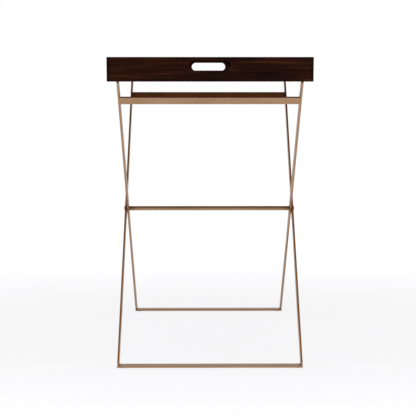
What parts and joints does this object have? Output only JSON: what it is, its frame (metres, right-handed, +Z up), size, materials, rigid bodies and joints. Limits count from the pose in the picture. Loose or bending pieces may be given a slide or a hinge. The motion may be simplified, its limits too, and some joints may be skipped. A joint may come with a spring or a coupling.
{
  "type": "folding tray table",
  "caption": "Folding tray table: a dark wooden tray with handle slots rests on two nested X frames of flat metal bar that turn on a cross rod and fold flat.",
  "frame": {"origin": "on the floor, at the middle of the table under the pivot", "axes": "+Z up, Y along the tray's length, X across it along the pivot axis"},
  "size_m": [0.508, 0.711, 0.7947],
  "materials": {
    "dark_wood": "espresso stain, satin lacquer",
    "bronze_bar": "satin copper bronze",
    "bolt_bronze": "satin copper bronze",
    "glide_rubber": "matte",
    "bush_nylon": "matte",
    "screw_steel": "zinc plated",
    "dowel_wood": "raw beech"
  },
  "bodies": {
    "outer_frame": {"outer_left_leg": "bronze_bar", "outer_right_leg": "bronze_bar", "outer_foot_rail": "bronze_bar", "outer_top_rail": "bronze_bar", "outer_upper_rail": "bronze_bar", "outer_left_glide": "glide_rubber", "outer_right_glide": "glide_rubber", "left_pivot_bush": "bush_nylon", "right_pivot_bush": "bush_nylon"},
    "inner_frame": {"inner_left_leg": "bronze_bar", "inner_right_leg": "bronze_bar", "inner_foot_rail": "bronze_bar", "inner_top_rail": "bronze_bar", "inner_upper_rail": "bronze_bar", "inner_left_glide": "glide_rubber", "inner_right_glide": "glide_rubber", "pivot_rod": "bronze_bar", "left_pivot_bolt": "bolt_bronze", "right_pivot_bolt": "bolt_bronze"},
    "tray": {"tray_end_front": "dark_wood", "tray_end_back": "dark_wood", "tray_side_left": "dark_wood", "tray_side_right": "dark_wood", "tray_bottom_panel": "dark_wood", "tray_batten_front": "dark_wood", "tray_batten_back": "dark_wood", "tray_batten_screws": "screw_steel", "tray_corner_dowels": "dowel_wood"}
  },
  "joints": [
    {"name": "fold", "type": "hinge", "parent": "outer_frame", "child": "inner_frame", "pos_m": [0, 0, 0.373], "axis": [-1, 0, 0], "range_deg": [0, 77]},
    {"name": "tray_lift", "type": "slide", "parent": "outer_frame", "child": "tray", "axis": [0, 0, 1], "range_m": [0, 0.485]}
  ],
  "couplings": [
    {"joint": "tray_lift", "follows": "fold", "m_per_rad": 0.36}
  ]
}
